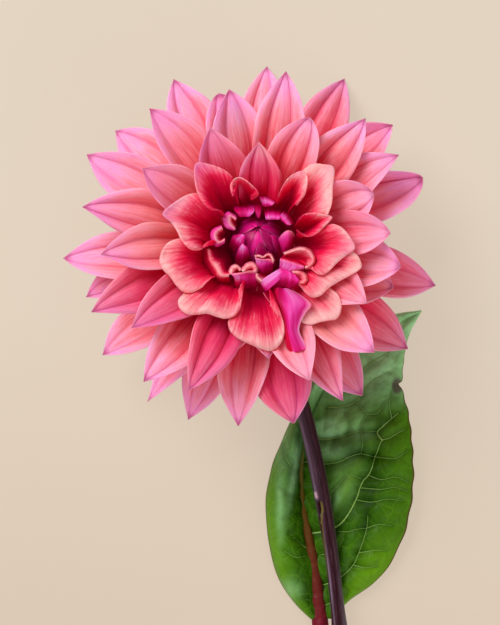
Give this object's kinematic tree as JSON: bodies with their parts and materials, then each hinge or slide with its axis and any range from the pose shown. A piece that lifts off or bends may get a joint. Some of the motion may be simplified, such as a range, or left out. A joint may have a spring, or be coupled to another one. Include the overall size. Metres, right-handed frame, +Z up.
{
  "type": "cut dahlia flower",
  "caption": "Cut dahlia bloom on a bent stem with one broad leaf, lying face up on a table: layered pointed florets around a closed bud",
  "frame": {"origin": "middle of the flower's outline, on the surface it lies on", "axes": "+Z up, +Y along the stem from its cut end to the bloom, +X to the right when the bloom is seen from above"},
  "size_m": [0.138, 0.262, 0.0696],
  "materials": {
    "ray_florets": "soft satin petal, coral in the middle, lilac pink at the tips, crimson at the base",
    "bud": "satin magenta, nearly closed florets",
    "involucre": "matt light green bracts",
    "stem": "smooth dark purple brown skin",
    "leaf": "glossy dark green with sunken veins and a reddish midrib"
  },
  "bodies": {
    "root": {"ray_florets": "ray_florets", "bud": "bud", "involucre": "involucre", "stem": "stem", "leaf": "leaf"}
  },
  "joints": []
}
